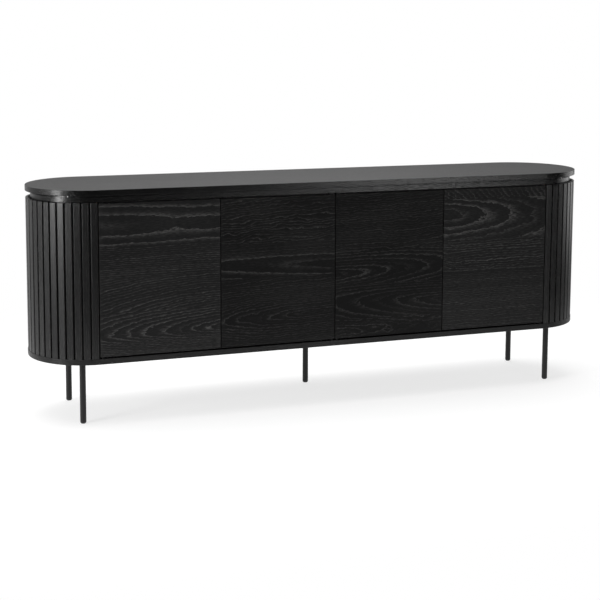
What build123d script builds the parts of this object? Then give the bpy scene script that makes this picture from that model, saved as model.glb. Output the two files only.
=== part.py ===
"""Sideboard with half-round slatted ends, four flat doors and five round legs.

Frame: millimetres, +Z up, origin on the floor under the middle of the piece.
+X runs along its length and the doors face -Y.
"""
from build123d import *
import math
import os

# ---------------------------------------------------------------- overall size
LENGTH = 2000.0
DEPTH = 400.0
HEIGHT = 766.0
LEG_HEIGHT = 205.0
NECK_HEIGHT = 23.0
BOARD = 18.0
EDGE_EASE = 0.9

# ------------------------------------------------------------ plan and levels
END_RADIUS = DEPTH / 2
END_X = LENGTH / 2 - END_RADIUS
FACE_INSET = 1.5
FACE = END_RADIUS - FACE_INSET
BASE_TOP = LEG_HEIGHT + BOARD
SLAB_BOTTOM = HEIGHT - BOARD
CARCASS_TOP = SLAB_BOTTOM - NECK_HEIGHT
CEILING = CARCASS_TOP - BOARD
NECK_RADIUS = END_RADIUS - 17.0
# Rebate along the top of the neck: a fine shadow line under the slab.
REVEAL_HEIGHT = 6.5
REVEAL_DEPTH = 7.0
REVEAL_LEVELS = (SLAB_BOTTOM - REVEAL_HEIGHT, SLAB_BOTTOM)

# -------------------------------------------------------------- slatted ends
SLAT_COUNT = 23
GROOVE = 5.0
SLAT_DEPTH = 8.0
SLAT_ROUNDING = 2.4
SLAT_TOP_EASE = 1.0
SLAT_PITCH = 180.0 / SLAT_COUNT
SLAT_WIDTH = math.radians(SLAT_PITCH) * FACE - GROOVE
SHELL_OUTER = FACE - SLAT_DEPTH
SHELL_THICKNESS = 7.5
SHELL_INNER = SHELL_OUTER - SHELL_THICKNESS
SEAM_SETBACK = GROOVE / 2
POST_WIDTH = 24.0
POST_DEPTH = 32.0

# --------------------------------------------------------------------- doors
DOOR_PITCH = 2 * END_X / 4
DOOR_GAP = 3.0
DOOR_TOP = CARCASS_TOP - 3.0
DOOR_BOTTOM = BASE_TOP + 5.0
DOOR_BACK = -FACE + BOARD
SWING_GAP = 3.5
CARCASS_FRONT = DOOR_BACK + SWING_GAP
CARCASS_BACK = FACE - BOARD
DOOR_EASE = 0.8

# -------------------------------------------------------------- pivot hinges
PIVOT_FROM_EDGE = 8.0
PIVOT_FROM_FACE = 5.5
PIVOT_Y = -FACE + PIVOT_FROM_FACE
PIN_RADIUS = 2.0
PIN_CLEARANCE = 0.05
PIN_ENGAGEMENT = 10.0
BOSS_RADIUS = 3.5
BOSS_HEIGHT = 14.0
BORE_DEPTH = 12.0
LEAF_THICKNESS = 2.5
LEAF_HALF_WIDTH = 4.0
LEAF_REACH = (-5.0, 38.0)
LEAF_SCREW_AT = 26.0
FLOOR_PLATE_REACH = (-6.0, 44.0)
FLOOR_PLATE_THICKNESS = 3.0
FLOOR_PLATE_DEPTH = (-4.5, 15.0)
FLOOR_PLATE_SCREWS = ((16.0, 6.0), (36.0, 6.0))
HEAD_PLATE_REACH = (-6.0, 9.0)
HEAD_PLATE_THICKNESS = 2.0
HEAD_PLATE_DEPTH = (-3.2, 60.0)
HEAD_PLATE_SCREWS = ((1.5, 32.0), (1.5, 50.0))
THRUST_RADIUS = 3.2
THRUST_GAP = 0.5

# -------------------------------------------------------------- push latches
LATCH_FROM_SEAM = 25.0
LATCH_WIDTH = 16.0
LATCH_HEIGHT = 14.0
LATCH_LENGTH = 70.0
LATCH_SETBACK = 1.0
LATCH_ROUNDING = 1.5
LATCH_BORE_DEPTH = 56.0
EAR_HALF_WIDTH = 15.0
EAR_THICKNESS = 2.0
EAR_START = 12.0
EAR_LENGTH = 30.0
EAR_SCREW_AT = 11.5
PLUNGER_RADIUS = 3.5
PLUNGER_CLEARANCE = 0.08
PLUNGER_LENGTH = 54.0
PLUNGER_GAP = 0.3
STRIKE_RADIUS = 8.0
STRIKE_THICKNESS = 1.0
BUMPER_RADIUS = 4.0
BUMPER_THICKNESS = 2.5
BUMPER_FROM_SEAM = (12.0, 360.0)

# ------------------------------------------------------------------ interior
SHELF_BOTTOM = 456.0
SHELF_SIDE_GAP = 1.0
SHELF_SETBACK = 17.0
SHELF_BACK_GAP = 2.0
SHELF_PIN_RADIUS = 2.5
SHELF_PIN_DEPTH = 8.0
SHELF_PIN_Y = 120.0
HOLE_PITCH = 32.0
HOLE_STEPS = (-2, -1, 0, 1, 2)

# ---------------------------------------------------------------------- legs
LEG_RADIUS = 10.0
LEG_PLACES = {
    "front_left": (-847.0, -139.0),
    "front_right": (847.0, -139.0),
    "back_left": (-847.0, 139.0),
    "back_right": (847.0, 139.0),
    "centre": (0.0, 97.0),
}
GLIDE_HEIGHT = 7.0
GLIDE_ROUNDING = 6.0
STUD_RADIUS = 4.0
STUD_LENGTH = 13.0
INSERT_RADIUS = 6.0
INSERT_LENGTH = 15.0

# -------------------------------------------------------------------- screws
LONG_SCREW = {"length": 50.0, "shank": 2.5, "head": 4.75}
SHORT_SCREW = {"length": 14.0, "shank": 1.5, "head": 3.0}
CROSS_WIDTH = 0.9
PANEL_SCREW_Y = (-120.0, 0.0, 120.0)
NECK_SCREW_X = (-600.0, -200.0, 200.0, 600.0)
NECK_SCREW_Y = 171.0
NECK_SCREW_ANGLES = (30.0, 90.0, 150.0)
BACK_SCREW_Z = (260.0, 465.0, 690.0)
BACK_SCREW_X = (-400.0, 400.0)

UPWARD = (Align.CENTER, Align.CENTER, Align.MIN)
SIDES = {"left": -1, "right": 1}
UP = Rot(0, 0, 0)
DOWN = Rot(180, 0, 0)
FORWARD = Rot(90, 0, 0)

# Each door: the seam on its hinge side, and the way from there to its free edge.
DOORS = {
    "outer_left": (-2 * DOOR_PITCH, 1),
    "inner_left": (0.0, -1),
    "inner_right": (0.0, 1),
    "outer_right": (2 * DOOR_PITCH, -1),
}


# ------------------------------------------------------------- shape helpers
def cuboid(xs, ys, zs):
    """Box between two X, two Y and two Z values, each pair in any order."""
    low = [min(pair) for pair in (xs, ys, zs)]
    size = [abs(pair[1] - pair[0]) for pair in (xs, ys, zs)]
    return Pos(*low) * Box(*size, align=(Align.MIN, Align.MIN, Align.MIN))


def rod(x, y, zs, radius):
    """Upright round rod between two heights."""
    low, high = min(zs), max(zs)
    return Pos(x, y, low) * Cylinder(radius, high - low, align=UPWARD)


def stadium(radius, bottom, thickness):
    """Board with a straight middle and half-round ends."""
    outline = SlotCenterToCenter(2 * END_X, 2 * radius)
    return Pos(0, 0, bottom) * extrude(outline, thickness)


def half_round(side, radius, zs, setback=0.0):
    """The half of an upright cylinder that lies beyond one end of the carcass."""
    whole = rod(side * END_X, 0, zs, radius)
    beyond = (side * (END_X + setback), side * (END_X + radius))
    return whole & cuboid(beyond, (-radius, radius), zs)


def half_ring(side, outer, inner, zs, setback=0.0):
    """Half-round wall at one end."""
    return half_round(side, outer, zs, setback) - rod(side * END_X, 0, zs, inner)


def screw_blank(length, shank, head):
    """Countersunk screw without its drive: head at Z = 0, point towards +Z."""
    countersink = Cone(head, shank, head - shank, align=UPWARD)
    return countersink + Cylinder(shank, length, align=UPWARD)


def screw(length, shank, head):
    """Countersunk screw with a cross recess in its head."""
    arm = 2 * shank
    slot = Box(arm, CROSS_WIDTH, shank, align=UPWARD)
    recess = slot + Rot(0, 0, 90) * slot
    return screw_blank(length, shank, head) - recess


def group(solids):
    """Several separate solids kept as one sub-part."""
    return Compound(list(solids))


def cut(body, tools):
    """Take every tool out of the body."""
    for tool in tools:
        body = body - tool
    return body


# ------------------------------------------------------------ screw positions
def upright_centres():
    """X of the middle of each partition and of the divider."""
    edge = END_X - BOARD / 2
    return (-edge, 0.0, edge)


def base_screw_places():
    """Up through the base panel into the partitions and the divider."""
    return [Pos(x, y, LEG_HEIGHT) * UP for x in upright_centres() for y in PANEL_SCREW_Y]


def panel_screw_places():
    """Down through the top panel into the partitions and the divider."""
    return [Pos(x, y, CARCASS_TOP) * DOWN for x in upright_centres() for y in PANEL_SCREW_Y]


def neck_screw_places():
    """Up through the top panel and the neck rails into the top slab."""
    return [Pos(x, y, CEILING) * UP for x in NECK_SCREW_X for y in (-NECK_SCREW_Y, NECK_SCREW_Y)]


def neck_end_screw_places(side):
    """Up through the half-round rib and the curved neck into the top slab."""
    ring = NECK_RADIUS - BOARD / 2
    places = []
    for angle in NECK_SCREW_ANGLES:
        turn = math.radians(angle)
        x = side * (END_X + ring * math.sin(turn))
        places.append(Pos(x, -ring * math.cos(turn), CEILING) * UP)
    return places


def back_screw_places():
    """Forward through the back panel into the uprights and the top panel."""
    upright = [Pos(x, FACE, z) * FORWARD for x in upright_centres() for z in BACK_SCREW_Z]
    along_top = [Pos(x, FACE, CARCASS_TOP - BOARD / 2) * FORWARD for x in BACK_SCREW_X]
    return upright + along_top


def long_blanks(places):
    """Holes for long screws at the given places."""
    return [place * screw_blank(**LONG_SCREW) for place in places]


def short_blanks(places):
    """Holes for short screws at the given places."""
    return [place * screw_blank(**SHORT_SCREW) for place in places]


# -------------------------------------------------------------- door geometry
def hinge_edge(door):
    """X of the door's edge on its hinge side."""
    seam, way = DOORS[door]
    return seam + way * DOOR_GAP / 2


def pivot_x(door):
    """X of the door's turning axis."""
    return hinge_edge(door) + DOORS[door][1] * PIVOT_FROM_EDGE


def latch_x(door):
    """X of the door's push latch, near its free edge."""
    seam, way = DOORS[door]
    return seam + way * (DOOR_PITCH - LATCH_FROM_SEAM)


def along(door, reach):
    """Two X values at these distances from the axis, towards the free edge."""
    way = DOORS[door][1]
    return (pivot_x(door) + way * reach[0], pivot_x(door) + way * reach[1])


def leaf_screw_places(door):
    """One screw up into the door's bottom edge and one down into its top edge."""
    x = pivot_x(door) + DOORS[door][1] * LEAF_SCREW_AT
    return [Pos(x, PIVOT_Y, DOOR_BOTTOM) * UP, Pos(x, PIVOT_Y, DOOR_TOP) * DOWN]


def plate_screw_places(door, offsets, level):
    """Screws down through one fixed pivot plate."""
    way = DOORS[door][1]
    return [Pos(pivot_x(door) + way * dx, PIVOT_Y + dy, level) * DOWN for dx, dy in offsets]


def floor_plate_screw_places(door):
    return plate_screw_places(door, FLOOR_PLATE_SCREWS, BASE_TOP)


def head_plate_screw_places(door):
    return plate_screw_places(door, HEAD_PLATE_SCREWS, CARCASS_TOP)


def floor_plate_blank(door):
    """Flat of the lower pivot plate, let flush into the base panel."""
    ys = (PIVOT_Y + FLOOR_PLATE_DEPTH[0], PIVOT_Y + FLOOR_PLATE_DEPTH[1])
    zs = (BASE_TOP - FLOOR_PLATE_THICKNESS, BASE_TOP)
    return cuboid(along(door, FLOOR_PLATE_REACH), ys, zs)


def head_plate_blank(door):
    """Flat of the upper pivot plate, let flush into the top panel under the neck."""
    ys = (PIVOT_Y + HEAD_PLATE_DEPTH[0], PIVOT_Y + HEAD_PLATE_DEPTH[1])
    zs = (CARCASS_TOP - HEAD_PLATE_THICKNESS, CARCASS_TOP)
    return cuboid(along(door, HEAD_PLATE_REACH), ys, zs)


def floor_plate(door):
    """Lower pivot plate with its thrust collar and pin."""
    x = pivot_x(door)
    collar = rod(x, PIVOT_Y, (BASE_TOP, DOOR_BOTTOM - THRUST_GAP), THRUST_RADIUS)
    pin = rod(x, PIVOT_Y, (BASE_TOP, DOOR_BOTTOM + PIN_ENGAGEMENT), PIN_RADIUS)
    solid = floor_plate_blank(door) + collar + pin
    return cut(solid, short_blanks(floor_plate_screw_places(door)))


def head_plate(door):
    """Upper pivot plate with its pin."""
    pin = rod(pivot_x(door), PIVOT_Y, (CARCASS_TOP, DOOR_TOP - PIN_ENGAGEMENT), PIN_RADIUS)
    solid = head_plate_blank(door) + pin
    return cut(solid, short_blanks(head_plate_screw_places(door)))


def leaf_blank(door, edge, inward):
    """Leaf and boss let into one edge of the door; inward is +1 up or -1 down."""
    ys = (PIVOT_Y - LEAF_HALF_WIDTH, PIVOT_Y + LEAF_HALF_WIDTH)
    plate = cuboid(along(door, LEAF_REACH), ys, (edge, edge + inward * LEAF_THICKNESS))
    return plate + rod(pivot_x(door), PIVOT_Y, (edge, edge + inward * BOSS_HEIGHT), BOSS_RADIUS)


def leaf_blanks(door):
    return [leaf_blank(door, DOOR_BOTTOM, 1), leaf_blank(door, DOOR_TOP, -1)]


def pivot_bore(door, edge, inward):
    """Running hole for the pin."""
    radius = PIN_RADIUS + PIN_CLEARANCE
    return rod(pivot_x(door), PIVOT_Y, (edge, edge + inward * BORE_DEPTH), radius)


def door_panel(door):
    """Flat door with pockets for its two pivot leaves."""
    way = DOORS[door][1]
    near = hinge_edge(door)
    far = near + way * (DOOR_PITCH - DOOR_GAP)
    panel = cuboid((near, far), (-FACE, DOOR_BACK), (DOOR_BOTTOM, DOOR_TOP))
    panel = fillet(panel.edges(), DOOR_EASE)
    return cut(panel, leaf_blanks(door) + short_blanks(leaf_screw_places(door)))


def pivot_leaves(door):
    """Upper and lower pivot leaves, each with a blind running hole."""
    bores = [pivot_bore(door, DOOR_BOTTOM, 1), pivot_bore(door, DOOR_TOP, -1)]
    holes = short_blanks(leaf_screw_places(door))
    return group(cut(blank, [bore] + holes) for blank, bore in zip(leaf_blanks(door), bores))


def strike_plate(door):
    """Thin steel disc on the back of the door for the latch magnet."""
    disc = Cylinder(STRIKE_RADIUS, STRIKE_THICKNESS, align=UPWARD)
    return Pos(latch_x(door), DOOR_BACK + STRIKE_THICKNESS, latch_height()) * FORWARD * disc


# ---------------------------------------------------------------- push latches
def latch_height():
    """Z of the plunger axis."""
    return CEILING - LATCH_HEIGHT / 2


def latch_front():
    """Y of the front of the latch housings."""
    return CARCASS_FRONT + LATCH_SETBACK


def latch_screw_places(door):
    """Screws up through the two ears of a housing."""
    y = latch_front() + EAR_START + EAR_LENGTH / 2
    level = CEILING - EAR_THICKNESS
    return [Pos(latch_x(door) + dx, y, level) * UP for dx in (-EAR_SCREW_AT, EAR_SCREW_AT)]


def latch_housing(door):
    """Plastic housing with fixing ears and a bore for the plunger."""
    x = latch_x(door)
    half = LATCH_WIDTH / 2
    ys = (latch_front(), latch_front() + LATCH_LENGTH)
    casing = cuboid((x - half, x + half), ys, (CEILING - LATCH_HEIGHT, CEILING))
    casing = fillet(casing.edges().group_by(Axis.Z)[0], LATCH_ROUNDING)
    ear_start = latch_front() + EAR_START
    ears = cuboid(
        (x - EAR_HALF_WIDTH, x + EAR_HALF_WIDTH),
        (ear_start, ear_start + EAR_LENGTH),
        (CEILING - EAR_THICKNESS, CEILING),
    )
    bore = Cylinder(PLUNGER_RADIUS + PLUNGER_CLEARANCE, LATCH_BORE_DEPTH, align=UPWARD)
    bore_end = latch_front() + LATCH_BORE_DEPTH
    solid = casing + ears - Pos(x, bore_end, latch_height()) * FORWARD * bore
    return cut(solid, short_blanks(latch_screw_places(door)))


def latch_plunger(door):
    """Round plunger, magnet tip forward, just clear of the closed door."""
    tip = DOOR_BACK + STRIKE_THICKNESS + PLUNGER_GAP
    bar = Cylinder(PLUNGER_RADIUS, PLUNGER_LENGTH, align=UPWARD)
    bar = fillet(bar.edges().group_by(Axis.Z)[-1], PLUNGER_GAP)
    return Pos(latch_x(door), tip + PLUNGER_LENGTH, latch_height()) * FORWARD * bar


def door_bumpers():
    """Rubber dots on the front edge of the top panel, two behind each door."""
    dot = Cylinder(BUMPER_RADIUS, BUMPER_THICKNESS, align=UPWARD)
    dots = []
    for seam, way in DOORS.values():
        for from_free_edge in BUMPER_FROM_SEAM:
            x = seam + way * (DOOR_PITCH - from_free_edge)
            dots.append(Pos(x, CARCASS_FRONT, CARCASS_TOP - BOARD / 2) * FORWARD * dot)
    return group(dots)


# ----------------------------------------------------------------- top and neck
def top_slab():
    """Worktop: a stadium-shaped board with lightly eased edges."""
    slab = stadium(END_RADIUS, SLAB_BOTTOM, BOARD)
    flat_edges = slab.edges().group_by(Axis.Z)
    slab = fillet(flat_edges[0] + flat_edges[-1], EDGE_EASE)
    places = neck_screw_places() + neck_end_screw_places(-1) + neck_end_screw_places(1)
    return cut(slab, long_blanks(places))


def neck_rail(front_or_back):
    """Straight rail of the neck, rebated under the slab; -1 is the front one, 1 the back one."""
    ys = (front_or_back * NECK_RADIUS, front_or_back * (NECK_RADIUS - BOARD))
    rail = cuboid((-END_X, END_X), ys, (CARCASS_TOP, SLAB_BOTTOM))
    reveal_ys = [front_or_back * y for y in (NECK_RADIUS - REVEAL_DEPTH, END_RADIUS)]
    reveal = cuboid((-END_X, END_X), reveal_ys, REVEAL_LEVELS)
    return cut(rail, [reveal, *long_blanks(neck_screw_places())])


def neck_end(side):
    """Curved rail of the neck, with the same rebate."""
    ring = half_ring(side, NECK_RADIUS, NECK_RADIUS - BOARD, (CARCASS_TOP, SLAB_BOTTOM))
    outer = rod(side * END_X, 0, REVEAL_LEVELS, END_RADIUS)
    reveal = outer - rod(side * END_X, 0, REVEAL_LEVELS, NECK_RADIUS - REVEAL_DEPTH)
    return cut(ring, [reveal, *long_blanks(neck_end_screw_places(side))])


def neck_cross_rails():
    """Short rails between the front and back neck rails."""
    inner = NECK_RADIUS - BOARD
    zs = (CARCASS_TOP, SLAB_BOTTOM)
    middles = (-DOOR_PITCH, 0.0, DOOR_PITCH)
    return group(cuboid((x - BOARD / 2, x + BOARD / 2), (-inner, inner), zs) for x in middles)


# --------------------------------------------------------------------- carcass
def top_panel():
    """Roof of the compartments, with the upper pivot plates let into it."""
    panel = cuboid((-END_X, END_X), (CARCASS_FRONT, CARCASS_BACK), (CEILING, CARCASS_TOP))
    tools = long_blanks(panel_screw_places() + neck_screw_places() + back_screw_places())
    for door in DOORS:
        tools.append(head_plate_blank(door))
        tools += short_blanks(head_plate_screw_places(door) + latch_screw_places(door))
    return cut(panel, tools)


def base_panel():
    """Floor of the piece: a stadium-shaped board that carries the legs."""
    panel = stadium(END_RADIUS, LEG_HEIGHT, BOARD)
    flat_edges = panel.edges().group_by(Axis.Z)
    panel = fillet(flat_edges[0] + flat_edges[-1], EDGE_EASE)
    tools = long_blanks(base_screw_places())
    tools += [leg_insert_blank(*place) for place in LEG_PLACES.values()]
    for door in DOORS:
        tools.append(floor_plate_blank(door))
        tools += short_blanks(floor_plate_screw_places(door))
    return cut(panel, tools)


def upright(middle):
    """Upright board between the base panel and the top panel."""
    xs = (middle - BOARD / 2, middle + BOARD / 2)
    board = cuboid(xs, (CARCASS_FRONT, CARCASS_BACK), (BASE_TOP, CEILING))
    places = base_screw_places() + panel_screw_places() + back_screw_places()
    return cut(board, long_blanks(places))


def shelf_hole_rows(face, inward):
    """Two rows of shelf-pin holes in the face of an upright."""
    xs = face + inward * SHELF_PIN_DEPTH / 2
    hole = Rot(0, 90, 0) * Cylinder(SHELF_PIN_RADIUS, SHELF_PIN_DEPTH)
    holes = []
    for step in HOLE_STEPS:
        for y in (-SHELF_PIN_Y, SHELF_PIN_Y):
            holes.append(Pos(xs, y, shelf_pin_height() + step * HOLE_PITCH) * hole)
    return holes


def shelf_pin_height():
    """Z of the shelf-pin axis, just under the shelf."""
    return SHELF_BOTTOM - SHELF_PIN_RADIUS


def end_partition(side):
    """Upright that closes one end of the compartments."""
    board = upright(side * (END_X - BOARD / 2))
    return cut(board, shelf_hole_rows(side * (END_X - BOARD), side))


def centre_divider():
    """Upright between the two compartments."""
    board = upright(0.0)
    holes = shelf_hole_rows(-BOARD / 2, 1) + shelf_hole_rows(BOARD / 2, -1)
    return cut(board, holes)


def back_panel():
    """Flat back, flush with the slats at both ends."""
    half = END_X - SEAM_SETBACK
    panel = cuboid((-half, half), (CARCASS_BACK, FACE), (BASE_TOP, CARCASS_TOP))
    panel = fillet(panel.edges().filter_by(Axis.Z).group_by(Axis.Y)[-1], DOOR_EASE)
    return cut(panel, long_blanks(back_screw_places()))


def shelf(side):
    """Loose shelf of one compartment."""
    near = BOARD / 2 + SHELF_SIDE_GAP
    far = END_X - BOARD - SHELF_SIDE_GAP
    ys = (CARCASS_FRONT + SHELF_SETBACK, CARCASS_BACK - SHELF_BACK_GAP)
    board = cuboid((side * near, side * far), ys, (SHELF_BOTTOM, SHELF_BOTTOM + BOARD))
    front = board.edges().filter_by(Axis.X).group_by(Axis.Y)[0]
    return fillet(front, DOOR_EASE)


def shelf_pins():
    """Four steel pins under each shelf, half in the upright and half out."""
    pin = Rot(0, 90, 0) * Cylinder(SHELF_PIN_RADIUS, 2 * SHELF_PIN_DEPTH)
    faces = (-END_X + BOARD, -BOARD / 2, BOARD / 2, END_X - BOARD)
    rows = (-SHELF_PIN_Y, SHELF_PIN_Y)
    return group(Pos(x, y, shelf_pin_height()) * pin for x in faces for y in rows)


# -------------------------------------------------------------- rounded ends
def post_blank(side, front_or_back):
    """Upright batten that carries one vertical edge of the bent shell."""
    xs = (side * END_X, side * (END_X + POST_WIDTH))
    ys = (front_or_back * SHELL_INNER, front_or_back * (SHELL_INNER - POST_DEPTH))
    block = cuboid(xs, ys, (BASE_TOP, CEILING))
    return block & rod(side * END_X, 0, (BASE_TOP, CEILING), SHELL_INNER)


def end_posts(side):
    return group(post_blank(side, way) for way in (-1, 1))


def end_ribs(side):
    """Half-round boards inside the end: one at mid height, one at the top."""
    middle = half_round(side, SHELL_INNER, (SHELF_BOTTOM, SHELF_BOTTOM + BOARD))
    middle = cut(middle, [post_blank(side, way) for way in (-1, 1)])
    top = half_round(side, SHELL_INNER, (CEILING, CARCASS_TOP))
    top = cut(top, long_blanks(neck_end_screw_places(side)))
    return group([middle, top])


def end_shell(side):
    """Bent plywood skin behind the slats."""
    return half_ring(side, SHELL_OUTER, SHELL_INNER, (BASE_TOP, CARCASS_TOP), SEAM_SETBACK)


def slat():
    """One slat, standing out along +X, with its outer edges rounded and its top eased."""
    half = SLAT_WIDTH / 2
    bar = cuboid((SHELL_OUTER, FACE), (-half, half), (BASE_TOP, CARCASS_TOP))
    bar = fillet(bar.edges().filter_by(Axis.Z).group_by(Axis.X)[-1], SLAT_ROUNDING)
    top_edges = bar.edges().group_by(Axis.Z)[-1].sort_by(Axis.X)[-3:]
    return fillet(top_edges, SLAT_TOP_EASE)


def slats(side):
    """Even row of slats round one end, from the front seam to the back one."""
    bar = slat()
    turns = [side * (index + 0.5) * SLAT_PITCH - 90.0 for index in range(SLAT_COUNT)]
    return group(Pos(side * END_X, 0, 0) * Rot(0, 0, turn) * bar for turn in turns)


# ------------------------------------------------------------------------ legs
def leg_insert_blank(x, y):
    return rod(x, y, (LEG_HEIGHT, LEG_HEIGHT + INSERT_LENGTH), INSERT_RADIUS)


def leg_insert(x, y):
    """Threaded insert in the base panel."""
    return leg_insert_blank(x, y) - rod(x, y, (LEG_HEIGHT, LEG_HEIGHT + STUD_LENGTH), STUD_RADIUS)


def leg(x, y):
    """Round steel leg with a stud at its top."""
    bar = rod(x, y, (GLIDE_HEIGHT, LEG_HEIGHT), LEG_RADIUS)
    return bar + rod(x, y, (LEG_HEIGHT, LEG_HEIGHT + STUD_LENGTH), STUD_RADIUS)


def leg_glide(x, y):
    """Rounded plastic foot under a leg."""
    foot = rod(x, y, (0.0, GLIDE_HEIGHT), LEG_RADIUS)
    return fillet(foot.edges().group_by(Axis.Z)[0], GLIDE_ROUNDING)


# ---------------------------------------------------------------------- screws
def carcass_screws():
    """Long screws that hold the boards, the neck and the top slab together."""
    places = base_screw_places() + panel_screw_places() + neck_screw_places()
    places += neck_end_screw_places(-1) + neck_end_screw_places(1)
    one = screw(**LONG_SCREW)
    return group(place * one for place in places)


def back_screws():
    one = screw(**LONG_SCREW)
    return group(place * one for place in back_screw_places())


def hardware_screws():
    """Short screws of the fixed pivot plates and the latch housings."""
    one = screw(**SHORT_SCREW)
    places = []
    for door in DOORS:
        places += floor_plate_screw_places(door)
        places += head_plate_screw_places(door)
        places += latch_screw_places(door)
    return group(place * one for place in places)


def leaf_screws(door):
    one = screw(**SHORT_SCREW)
    return group(place * one for place in leaf_screw_places(door))


# -------------------------------------------------------------------- assembly
def fixed_pieces():
    """Every sub-part of the carcass, by name."""
    pieces = {
        "top_slab": top_slab(),
        "neck_rail_front": neck_rail(-1),
        "neck_rail_back": neck_rail(1),
        "neck_cross_rails": neck_cross_rails(),
        "top_panel": top_panel(),
        "base_panel": base_panel(),
        "centre_divider": centre_divider(),
        "back_panel": back_panel(),
        "shelf_pins": shelf_pins(),
        "door_bumpers": door_bumpers(),
        "pivot_plates_lower": group(floor_plate(door) for door in DOORS),
        "pivot_plates_upper": group(head_plate(door) for door in DOORS),
        "carcass_screws": carcass_screws(),
        "back_screws": back_screws(),
        "hardware_screws": hardware_screws(),
        "leg_inserts": group(leg_insert(*place) for place in LEG_PLACES.values()),
        "leg_glides": group(leg_glide(*place) for place in LEG_PLACES.values()),
    }
    for name, side in SIDES.items():
        pieces[f"neck_end_{name}"] = neck_end(side)
        pieces[f"end_partition_{name}"] = end_partition(side)
        pieces[f"end_posts_{name}"] = end_posts(side)
        pieces[f"end_ribs_{name}"] = end_ribs(side)
        pieces[f"end_shell_{name}"] = end_shell(side)
        pieces[f"slats_{name}"] = slats(side)
        pieces[f"shelf_{name}"] = shelf(side)
    for name, place in LEG_PLACES.items():
        pieces[f"leg_{name}"] = leg(*place)
    for door in DOORS:
        pieces[f"latch_housing_{door}"] = latch_housing(door)
    return pieces


def moving_pieces():
    """Every sub-part of the doors and the latch plungers, by name."""
    pieces = {}
    for door in DOORS:
        pieces[f"door_{door}"] = door_panel(door)
        pieces[f"pivot_leaves_{door}"] = pivot_leaves(door)
        pieces[f"leaf_screws_{door}"] = leaf_screws(door)
        pieces[f"strike_plate_{door}"] = strike_plate(door)
        pieces[f"latch_plunger_{door}"] = latch_plunger(door)
    return pieces


os.makedirs("parts", exist_ok=True)
for piece_name, piece in {**fixed_pieces(), **moving_pieces()}.items():
    export_step(piece, f"parts/{piece_name}.step")
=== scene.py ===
"""Looks of the sideboard: black-stained ash, powder-coated legs and the hardware inside.

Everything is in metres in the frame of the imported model: +X along the length, doors facing -Y, +Z up.
"""
import math

import bpy
from mathutils import Matrix, Vector


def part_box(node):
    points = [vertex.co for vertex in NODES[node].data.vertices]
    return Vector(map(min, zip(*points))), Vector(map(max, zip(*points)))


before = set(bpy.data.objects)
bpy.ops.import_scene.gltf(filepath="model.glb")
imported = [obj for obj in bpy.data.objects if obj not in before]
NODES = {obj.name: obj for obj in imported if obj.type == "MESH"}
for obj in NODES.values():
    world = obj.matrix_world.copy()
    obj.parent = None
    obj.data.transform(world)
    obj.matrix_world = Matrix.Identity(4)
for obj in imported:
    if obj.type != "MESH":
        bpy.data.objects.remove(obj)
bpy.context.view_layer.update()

DOORS = ("outer_left", "inner_left", "inner_right", "outer_right")
SLAT_COUNT = 23

# ------------------------------------------------------------------- measures
slab_low, slab_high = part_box("top_slab")
END_RADIUS = (slab_high.y - slab_low.y) / 2
END_X = slab_high.x - END_RADIUS
SLAT_PITCH = math.pi / SLAT_COUNT
TOP = slab_high.z


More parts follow.
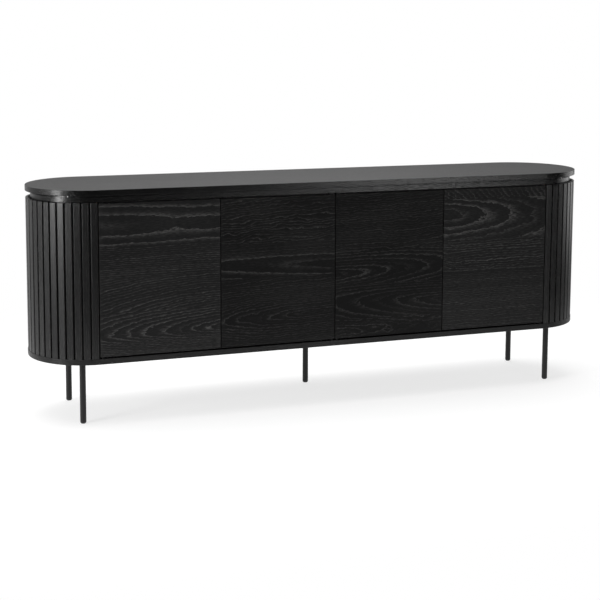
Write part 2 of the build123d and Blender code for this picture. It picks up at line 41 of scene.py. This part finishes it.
# ---------------------------------------------------------------- node helper
class Graph:
    """Adds shader nodes to one material and joins them."""

    def __init__(self, name):
        self.material = bpy.data.materials.new(name)
        self.material.use_nodes = True
        self.tree = self.material.node_tree
        self.tree.nodes.clear()

    def add(self, kind, **settings):
        node = self.tree.nodes.new(kind)
        for key, value in settings.items():
            setattr(node, key, value)
        return node

    def put(self, socket, value):
        """Link a socket, or set a plain value."""
        if isinstance(value, bpy.types.NodeSocket):
            self.tree.links.new(value, socket)
        else:
            socket.default_value = value

    def math(self, operation, *values, clamp=False):
        node = self.add("ShaderNodeMath", operation=operation, use_clamp=clamp)
        for socket, value in zip(node.inputs, values):
            self.put(socket, value)
        return node.outputs[0]

    def plus(self, a, b):
        return self.math("ADD", a, b)

    def minus(self, a, b):
        return self.math("SUBTRACT", a, b)

    def times(self, a, b):
        return self.math("MULTIPLY", a, b)

    def point(self):
        """Object coordinates, which are the frame's own metres."""
        return self.add("ShaderNodeTexCoord").outputs["Object"]

    def split(self, vector):
        node = self.add("ShaderNodeSeparateXYZ")
        self.put(node.inputs[0], vector)
        return node.outputs

    def join(self, x, y, z):
        node = self.add("ShaderNodeCombineXYZ")
        for socket, value in zip(node.inputs, (x, y, z)):
            self.put(socket, value)
        return node.outputs[0]

    def noise(self, vector, scale=1.0, detail=2.0, roughness=0.5):
        node = self.add("ShaderNodeTexNoise")
        self.put(node.inputs["Vector"], vector)
        node.inputs["Scale"].default_value = scale
        node.inputs["Detail"].default_value = detail
        node.inputs["Roughness"].default_value = roughness
        return node.outputs["Fac"]

    def swing(self, vector, reach, scale=1.0, detail=2.0):
        """Noise about zero, between minus and plus reach."""
        centred = self.minus(self.noise(vector, scale, detail), 0.5)
        return self.times(centred, 2 * reach)

    def band(self, value, low, high, out_low=0.0, out_high=1.0):
        """Smooth step from one value to another."""
        node = self.add("ShaderNodeMapRange", interpolation_type="SMOOTHSTEP")
        for socket, number in zip(node.inputs, (value, low, high, out_low, out_high)):
            self.put(socket, number)
        return node.outputs[0]

    def tint(self, factor, first, second):
        node = self.add("ShaderNodeMix", data_type="RGBA")
        self.put(node.inputs["Factor"], factor)
        node.inputs["A"].default_value = (*first, 1.0)
        node.inputs["B"].default_value = (*second, 1.0)
        return node.outputs["Result"]

    def bump(self, height, distance, strength=1.0):
        node = self.add("ShaderNodeBump")
        node.inputs["Strength"].default_value = strength
        node.inputs["Distance"].default_value = distance
        self.put(node.inputs["Height"], height)
        return node.outputs["Normal"]

    def upward(self, amount):
        """The given amount on faces that look up, nothing on the others."""
        normal = self.split(self.add("ShaderNodeNewGeometry").outputs["True Normal"])
        return self.band(normal[2], 0.7, 0.95, 0.0, amount)

    def finish(self, **sockets):
        """Principled shader with these inputs."""
        shader = self.add("ShaderNodeBsdfPrincipled")
        for name, value in sockets.items():
            self.put(shader.inputs[name.replace("_", " ")], value)
        output = self.add("ShaderNodeOutputMaterial")
        self.tree.links.new(shader.outputs[0], output.inputs["Surface"])
        return self.material


# ------------------------------------------------------------------------ ash
# Stained wood, and the pale open pores of a growth ring.
DARK_ASH = (0.0040, 0.0040, 0.0041)
LIGHT_ASH = (0.105, 0.103, 0.101)


def board_axes(g, order, face):
    """Distances along the grain, across the face and from the face into the board."""
    axes = g.split(g.point())
    along, across, depth = [axes["XYZ".index(letter)] for letter in order]
    return along, across, g.minus(depth, face)


def slat_axes(g):
    """The same three distances on a round end, each slat cut from its own stretch of wood."""
    x, y, z = g.split(g.point())
    from_centre = g.minus(g.math("ABSOLUTE", x), END_X)
    turn = g.math("ARCTAN2", from_centre, g.math("MULTIPLY", y, -1.0))
    step = g.math("DIVIDE", turn, SLAT_PITCH)
    index = g.math("FLOOR", step)
    side = g.times(g.math("SIGN", x), 40.0)
    seed = g.add("ShaderNodeTexWhiteNoise", noise_dimensions="1D")
    g.put(seed.inputs["W"], g.plus(index, side))
    shuffle = g.split(seed.outputs["Color"])
    across = g.plus(g.times(step, SLAT_PITCH * END_RADIUS), g.times(shuffle[0], 3.0))
    along = g.plus(z, g.times(shuffle[1], 5.0))
    depth = g.times(shuffle[2], 0.06)
    return along, across, depth


def leaf(low, level, width, reach=0.0, slope=0.0, tilt=0.0, above=1.0, below=1.0, wander=0.006,
         contrast=1.0, jagged=0.0026):
    """One leaf of veneer and how the tree's rings lie to its face.

    low: height of the leaf's lower edge; level and tilt: height and rise of the heart line;
    reach and slope: how far behind the face the heart is, and how fast that changes sideways;
    above, below: how tightly the rings are packed on either side of the heart line;
    wander, jagged: how far the rings stray, over long and over short distances.
    """
    return dict(low=low, level=level, width=width, reach=reach, slope=slope, tilt=tilt,
                above=above, below=below, wander=wander, contrast=contrast, jagged=jagged)


def stepped(g, position, leaves, key):
    """Value that changes from leaf to leaf; the leaves run upwards."""
    total = leaves[0][key]
    for under, over in zip(leaves, leaves[1:]):
        if over[key] != under[key]:
            passed = g.math("GREATER_THAN", position, over["low"])
            total = g.plus(total, g.times(passed, over[key] - under[key]))
    return total


def ring_distance(g, along, across, depth, leaves, start):
    """Distance from the heart of the tree, which wanders and leans away from the board."""
    here = {key: stepped(g, across, leaves, key) for key in leaves[0] if key != "low"}
    shift = g.minus(along, start)
    height = g.minus(g.minus(across, here["level"]), g.times(shift, here["tilt"]))
    over = g.math("MAXIMUM", height, 0.0)
    under = g.math("MINIMUM", height, 0.0)
    height = g.plus(g.times(over, here["above"]), g.times(under, here["below"]))
    lean = g.plus(g.plus(g.times(shift, here["slope"]), here["reach"]), depth)
    slow = g.join(g.times(along, 3.0), g.times(across, 6.0), g.times(here["level"], 40.0))
    mid = g.join(g.times(along, 16.0), g.times(across, 34.0), g.times(here["level"], 90.0))
    fine = g.join(g.times(along, 75.0), g.times(across, 150.0), g.times(here["level"], 70.0))
    wander = g.times(g.plus(g.swing(slow, 1.0, 1.0, 1.0), g.swing(mid, 0.60, 1.0, 1.0)), here["wander"])
    jagged = g.times(g.swing(fine, 1.0, 1.0, 2.0), here["jagged"])
    squares = g.plus(g.math("POWER", height, 2.0), g.math("POWER", lean, 2.0))
    return g.plus(g.math("SQRT", squares), g.plus(wander, jagged)), here


def ring_lines(g, distance, width):
    """Pale open-pored line at the start of each year's growth, fading out behind it."""
    years = g.math("DIVIDE", distance, width)
    years = g.plus(years, g.swing(g.join(g.times(years, 0.35), 0.0, 0.0), 0.4, 1.0, 1.0))
    phase = g.math("FRACT", years)
    strength = g.add("ShaderNodeTexWhiteNoise", noise_dimensions="1D")
    g.put(strength.inputs["W"], g.math("FLOOR", years))
    fade = g.math("POWER", g.minus(1.0, phase), 4.5)
    rise = g.band(phase, 0.0, 0.08)
    weight = g.plus(g.times(strength.outputs["Value"], 0.7), 0.3)
    return g.times(g.times(fade, rise), weight)


def pores(g, along, across, depth):
    """Short open pores that run with the grain."""
    place = g.join(g.times(along, 55.0), g.times(across, 1500.0), g.times(depth, 300.0))
    return g.band(g.noise(place, 1.0, 2.0, 0.6), 0.52, 0.68)


def ash(name, axes, leaves, start=0.0, contrast=1.0, gloss=0.30, roughness=0.5,
        worn_face=0.0, dark=DARK_ASH, light=LIGHT_ASH):
    """Black-stained ash with its growth rings and pores.

    worn_face is the extra roughness of the face that looks up.
    """
    g = Graph(name)
    along, across, depth = axes(g)
    distance, here = ring_distance(g, along, across, depth, leaves, start)
    lines = ring_lines(g, distance, here["width"])
    grooves = pores(g, along, across, depth)
    patches = g.noise(g.join(g.times(along, 3.0), g.times(across, 8.0), 3.0), 1.0, 2.0)
    streaks = g.noise(g.join(g.times(along, 60.0), g.times(across, 420.0), 5.0), 1.0, 3.0)
    broken = g.band(streaks, 0.34, 0.58, 0.25, 1.0)
    bold = g.times(here["contrast"], contrast)
    shown = g.plus(g.times(lines, broken), g.times(g.minus(streaks, 0.44), 0.34))
    shown = g.plus(g.times(shown, bold), g.times(g.minus(patches, 0.5), 0.22))
    shown = g.math("ADD", shown, g.times(grooves, -0.04), clamp=True)
    height = g.minus(g.times(lines, -0.5), g.times(grooves, 0.8))
    rough = g.plus(g.upward(worn_face), roughness) if worn_face else roughness
    return g.finish(
        Base_Color=g.tint(shown, dark, light),
        Roughness=g.plus(g.times(shown, 0.10), rough),
        Specular_IOR_Level=gloss,
        Normal=g.bump(height, 0.00025, 0.6),
    )


def flat_axes(order, face=0.0):
    """Axes for a flat board; order names along, across and depth, such as XZY."""
    return lambda g: board_axes(g, order, face)


# Leaves of veneer on each door, from the bottom upwards, with heights above the floor.
DOOR_LEAVES = {
    "outer_left": (
        leaf(0.0, 0.294, 0.0064, 0.056, -0.118, 0.01, 0.75, 1.4, 0.003, 1.2),
        leaf(0.370, 0.300, 0.0072, 0.120, -0.250, wander=0.008, contrast=1.1),
        leaf(0.480, 0.300, 0.0066, 0.020, 0.0, wander=0.006, contrast=1.1),
        leaf(0.580, 0.650, 0.0215, 0.029, 0.028, wander=0.007, contrast=1.2, jagged=0.004),
    ),
    "inner_left": (
        leaf(0.0, 0.317, 0.0066, -0.045, 0.14, 0.03, wander=0.010, contrast=0.55, jagged=0.003),
        leaf(0.455, 0.500, 0.0168, 0.031, -0.0475, -0.03, wander=0.004, contrast=0.85),
        leaf(0.530, 0.450, 0.0052, 0.0, 0.0, 0.02, wander=0.004, contrast=0.6),
        leaf(0.570, 0.480, 0.0090, 0.0, 0.030, 0.08, wander=0.022, contrast=0.85, jagged=0.0035),
    ),
    "inner_right": (
        leaf(0.0, 0.250, 0.0080, 0.010, 0.06, wander=0.014, contrast=0.6, jagged=0.005),
        leaf(0.290, 0.359, 0.0078, 0.046, -0.10, -0.045, 1.0, 0.65, 0.003, 0.55),
        leaf(0.410, 0.448, 0.0095, 0.007, 0.119, 0.05, wander=0.004, contrast=0.75, jagged=0.004),
        leaf(0.527, 0.400, 0.0075, 0.0, 0.02, 0.03, wander=0.018, contrast=0.7, jagged=0.003),
    ),
    "outer_right": (
        leaf(0.0, 0.150, 0.0058, 0.0, 0.05, wander=0.010, contrast=1.0),
        leaf(0.424, 0.413, 0.0180, 0.002, 0.0, 0.0, wander=0.005, contrast=1.6),
        leaf(0.440, 0.250, 0.0088, 0.0, 0.05, wander=0.014, contrast=1.5, jagged=0.004),
        leaf(0.545, 0.635, 0.0215, 0.012, 0.208, 0.0, 1.2, 0.85, 0.013, 1.7, 0.006),
        leaf(0.688, 0.640, 0.0085, 0.10, 0.42, wander=0.008, contrast=1.1, jagged=0.005),
    ),
}
# Ground colour of each door, as a multiple of DARK_ASH.
DOOR_TONES = {"outer_left": 2.3, "inner_left": 0.7, "inner_right": 0.4, "outer_right": 1.8}


# --------------------------------------------------------- metal, plastic, ply
def powder_coat():
    """Fine matt black powder coat with a slight orange peel."""
    g = Graph("powder_coat")
    peel = g.noise(g.point(), 900.0, 2.0)
    cloud = g.noise(g.point(), 30.0, 2.0)
    return g.finish(
        Base_Color=g.tint(cloud, (0.008, 0.008, 0.008), (0.013, 0.013, 0.013)),
        Roughness=g.band(cloud, 0.3, 0.7, 0.42, 0.50),
        Specular_IOR_Level=0.30,
        Normal=g.bump(peel, 0.0001, 0.5),
    )


def zinc_plate():
    """Zinc-plated steel with faint drawing lines and patchy gloss."""
    g = Graph("zinc_plate")
    x, y, z = g.split(g.point())
    drawn = g.noise(g.join(g.times(x, 4000.0), g.times(y, 4000.0), g.times(z, 200.0)), 1.0, 2.0)
    cloud = g.noise(g.point(), 160.0, 2.0)
    return g.finish(
        Base_Color=g.tint(cloud, (0.42, 0.42, 0.43), (0.60, 0.60, 0.61)),
        Roughness=g.band(drawn, 0.3, 0.7, 0.28, 0.42),
        Metallic=1.0,
        Normal=g.bump(drawn, 0.00003, 0.4),
    )


def moulded(name, dark, light, roughness, grain):
    """Moulded plastic or rubber with a spark-eroded grain."""
    g = Graph(name)
    texture = g.noise(g.point(), grain, 3.0, 0.6)
    cloud = g.noise(g.point(), 60.0, 2.0)
    return g.finish(
        Base_Color=g.tint(cloud, dark, light),
        Roughness=g.band(texture, 0.3, 0.7, roughness - 0.05, roughness + 0.05),
        Specular_IOR_Level=0.4,
        Normal=g.bump(texture, 0.00008, 0.6),
    )


def birch_ply():
    """Bare plywood: pale grain with darker glue lines between the plies."""
    g = Graph("birch_ply")
    x, y, z = g.split(g.point())
    grain = g.noise(g.join(g.times(x, 6.0), g.times(y, 160.0), g.times(z, 160.0)), 1.0, 3.0)
    ply = g.math("FRACT", g.times(g.math("ADD", x, z), 1.0 / 0.0015))
    glue = g.band(ply, 0.86, 0.98)
    shown = g.math("SUBTRACT", g.times(grain, 0.9), g.times(glue, 0.35), clamp=True)
    return g.finish(
        Base_Color=g.tint(shown, (0.20, 0.12, 0.06), (0.62, 0.47, 0.30)),
        Roughness=g.band(grain, 0.3, 0.7, 0.55, 0.68),
        Specular_IOR_Level=0.35,
        Normal=g.bump(grain, 0.0001, 0.4),
    )


def dress(material, *names):
    """Give a material to every slot of these CAD nodes."""
    for name in names:
        for slot in NODES[name].material_slots:
            slot.material = material


def starting_with(*starts):
    """Names of the CAD nodes that start with any of these."""
    return [name for name in NODES if name.startswith(starts)]


def dress_doors():
    """Each door has its own veneer, set out from the door's left edge and by height above the floor."""
    for door, leaves in DOOR_LEAVES.items():
        low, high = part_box(f"door_{door}")
        dark = [DOOR_TONES[door] * channel for channel in DARK_ASH]
        axes = flat_axes("XZY", low.y)
        wood = ash(f"ash_{door}", axes, leaves, start=low.x, gloss=0.16, dark=dark)
        dress(wood, f"door_{door}")


def dress_wood():
    """Everything made of board, from the worktop to the ribs inside the round ends."""
    plain = [leaf(0.0, 0.30, 0.009, 0.24, 0.03, wander=0.010)]
    top = ash("ash_top", flat_axes("XYZ", TOP), plain, contrast=0.22, gloss=0.42, roughness=0.26,
              worn_face=0.24)
    dress(top, "top_slab")
    edge = ash("ash_edge", flat_axes("XZY"), plain, contrast=0.20, gloss=0.50, roughness=0.24)
    dress(edge, *starting_with("neck_rail", "neck_end"))
    base = ash("ash_base", flat_axes("XZY"), plain, contrast=0.20, gloss=0.34, roughness=0.34)
    dress(base, "base_panel")
    rear = [
        leaf(0.0, 0.35, 0.008, 0.05, 0.06, wander=0.010),
        leaf(0.46, 0.60, 0.008, 0.03, -0.05, wander=0.010),
    ]
    rear_axes = flat_axes("XZY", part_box("back_panel")[1].y)
    dress(ash("ash_back", rear_axes, rear, contrast=0.8, gloss=0.16), "back_panel")
    upright = [leaf(0.0, 0.2, 0.006, 0.15, 0.02, wander=0.006)]
    slats = ash("ash_slats", slat_axes, upright, contrast=0.60, gloss=0.50, roughness=0.31)
    dress(slats, *starting_with("slats"))
    shell = ash("ash_shell", slat_axes, upright, contrast=0.5, gloss=0.2, roughness=0.6)
    dress(shell, *starting_with("end_shell"))
    inner = [leaf(0.0, 0.05, 0.007, 0.06, 0.05, wander=0.010)]
    tone = {"contrast": 0.7, "gloss": 0.2, "dark": (0.018, 0.0177, 0.0174)}
    walls = ash("ash_walls", flat_axes("ZYX"), inner, **tone)
    dress(walls, "centre_divider", *starting_with("end_partition"))
    boards = ash("ash_boards", flat_axes("XYZ"), inner, **tone)
    dress(boards, "top_panel", *starting_with("shelf_left", "shelf_right"))
    dress(birch_ply(), "neck_cross_rails", *starting_with("end_posts", "end_ribs"))


def dress_hardware():
    """Legs, pivots, screws, latches and glides."""
    coat = powder_coat()
    dress(coat, "back_screws", *starting_with("leg_front", "leg_back", "leg_centre", "pivot_"))
    zinc = zinc_plate()
    dress(zinc, "shelf_pins", "carcass_screws", "hardware_screws", "leg_inserts")
    dress(zinc, *starting_with("leaf_screws", "strike_plate"))
    dress(moulded("black_nylon", (0.010, 0.010, 0.010), (0.018, 0.018, 0.018), 0.5, 1500.0), "leg_glides")
    grey = moulded("grey_acetal", (0.045, 0.045, 0.047), (0.065, 0.065, 0.068), 0.45, 1800.0)
    dress(grey, *starting_with("latch_"))
    dress(moulded("soft_rubber", (0.015, 0.015, 0.015), (0.025, 0.025, 0.025), 0.7, 1200.0), "door_bumpers")


# -------------------------------------------------------------------- the set
CAMERA_PLACE = Vector((-1.5462, -4.2186, 1.2737))
CAMERA_YAW = math.radians(19.434)
CAMERA_PITCH = math.radians(-6.674)
CAMERA_ROLL = math.radians(0.251)
LENS = 77.82
SHIFT_Y = -0.2


def add_camera():
    """Camera in front of the piece, to its left and a little above it."""
    data = bpy.data.cameras.new("camera")
    data.lens = LENS
    data.sensor_width = 36.0
    data.shift_y = SHIFT_Y
    camera = bpy.data.objects.new("camera", data)
    bpy.context.scene.collection.objects.link(camera)
    turn = Matrix.Rotation(-CAMERA_YAW, 4, "Z")
    tilt = Matrix.Rotation(math.radians(90) + CAMERA_PITCH, 4, "X")
    roll = Matrix.Rotation(CAMERA_ROLL, 4, "Z")
    camera.matrix_world = Matrix.Translation(CAMERA_PLACE) @ turn @ tilt @ roll
    bpy.context.scene.camera = camera


def add_softbox(name, place, aim, size, power):
    """Rectangular light facing a point."""
    data = bpy.data.lights.new(name, "AREA")
    data.shape = "RECTANGLE"
    data.size, data.size_y = size
    data.energy = power
    lamp = bpy.data.objects.new(name, data)
    bpy.context.scene.collection.objects.link(lamp)
    way = Vector(aim) - Vector(place)
    lamp.matrix_world = Matrix.Translation(place) @ way.to_track_quat("-Z", "Y").to_matrix().to_4x4()
    lamp.visible_camera = False


FLOOR_RADIUS = 2.5
# The floor fades out between these two distances from the middle line of the piece.
FLOOR_CLEAR = (0.45, 1.50)
FLOOR_GLOW = 0.72


def floor_material():
    """Bright sweep under the piece that melts into the white background around it."""
    g = Graph("studio_floor")
    x, y, z = g.split(g.point())
    beyond = g.math("MAXIMUM", g.minus(g.math("ABSOLUTE", x), END_X), 0.0)
    away = g.math("SQRT", g.plus(g.math("POWER", beyond, 2.0), g.math("POWER", y, 2.0)))
    fade = g.band(away, *FLOOR_CLEAR)
    speck = g.noise(g.point(), 40.0, 3.0)
    paint = g.add("ShaderNodeBsdfDiffuse")
    g.put(paint.inputs["Color"], g.tint(speck, (0.34, 0.34, 0.34), (0.36, 0.36, 0.36)))
    glow = g.add("ShaderNodeEmission")
    glow.inputs["Strength"].default_value = FLOOR_GLOW
    bright = g.add("ShaderNodeAddShader")
    g.put(bright.inputs[0], paint.outputs[0])
    g.put(bright.inputs[1], glow.outputs[0])
    clear = g.add("ShaderNodeBsdfTransparent")
    mixed = g.add("ShaderNodeMixShader")
    g.put(mixed.inputs[0], fade)
    g.put(mixed.inputs[1], bright.outputs[0])
    g.put(mixed.inputs[2], clear.outputs[0])
    output = g.add("ShaderNodeOutputMaterial")
    g.put(output.inputs["Surface"], mixed.outputs[0])
    return g.material


def add_floor():
    bpy.ops.mesh.primitive_circle_add(vertices=96, radius=FLOOR_RADIUS, fill_type="NGON")
    floor = bpy.context.object
    floor.name = "floor"
    floor.data.materials.append(floor_material())


# Sky brightness rises from dim to bright as a direction turns towards SKY_WAY.
SKY_BRIGHT = 0.58
SKY_DIM = 0.02
SKY_SPAN = (-0.5, 1.0)
SKY_WAY = (-0.35, 0.94, 0.0)


def add_sky():
    """White studio: bright behind the piece and to its left, dim in front of it."""
    world = bpy.data.worlds.new("studio")
    bpy.context.scene.world = world
    world.use_nodes = True
    tree = world.node_tree
    tree.nodes.clear()
    way = tree.nodes.new("ShaderNodeTexCoord")
    facing = tree.nodes.new("ShaderNodeVectorMath")
    facing.operation = "DOT_PRODUCT"
    facing.inputs[1].default_value = SKY_WAY
    tree.links.new(way.outputs["Generated"], facing.inputs[0])
    span = tree.nodes.new("ShaderNodeMapRange")
    span.interpolation_type = "SMOOTHSTEP"
    for socket, number in zip(span.inputs[1:5], (*SKY_SPAN, SKY_DIM, SKY_BRIGHT)):
        socket.default_value = number
    tree.links.new(facing.outputs["Value"], span.inputs[0])
    path = tree.nodes.new("ShaderNodeLightPath")
    seen = tree.nodes.new("ShaderNodeMix")
    tree.links.new(path.outputs["Is Camera Ray"], seen.inputs["Factor"])
    tree.links.new(span.outputs[0], seen.inputs["A"])
    seen.inputs["B"].default_value = 1.0
    back = tree.nodes.new("ShaderNodeBackground")
    back.inputs["Color"].default_value = (1.0, 1.0, 1.0, 1.0)
    tree.links.new(seen.outputs["Result"], back.inputs["Strength"])
    output = tree.nodes.new("ShaderNodeOutputWorld")
    tree.links.new(back.outputs[0], output.inputs["Surface"])


def light_the_set():
    """Soft light from above, a narrow box for the left end, low cards in front and on the right."""
    add_sky()
    middle = (0.0, 0.0, TOP / 2)
    add_softbox("overhead", (-0.2, 0.4, 3.2), middle, (4.5, 3.0), 150.0)
    add_softbox("left_box", (-3.23, -1.12, 0.98), (-0.93, -0.15, 0.85), (0.72, 1.2), 56.0)
    add_softbox("front_box", (1.95, -3.85, 0.80), (0.25, -0.2, 0.60), (1.1, 1.5), 22.0)
    add_softbox("right_card", (3.2, 0.3, 0.90), (0.9, 0.0, 0.60), (1.8, 1.5), 14.0)


def set_the_stage():
    """Floor, lights and camera around the dressed piece."""
    bpy.context.scene.view_settings.view_transform = "Standard"
    add_floor()
    light_the_set()
    add_camera()


dress_doors()
dress_wood()
dress_hardware()
set_the_stage()
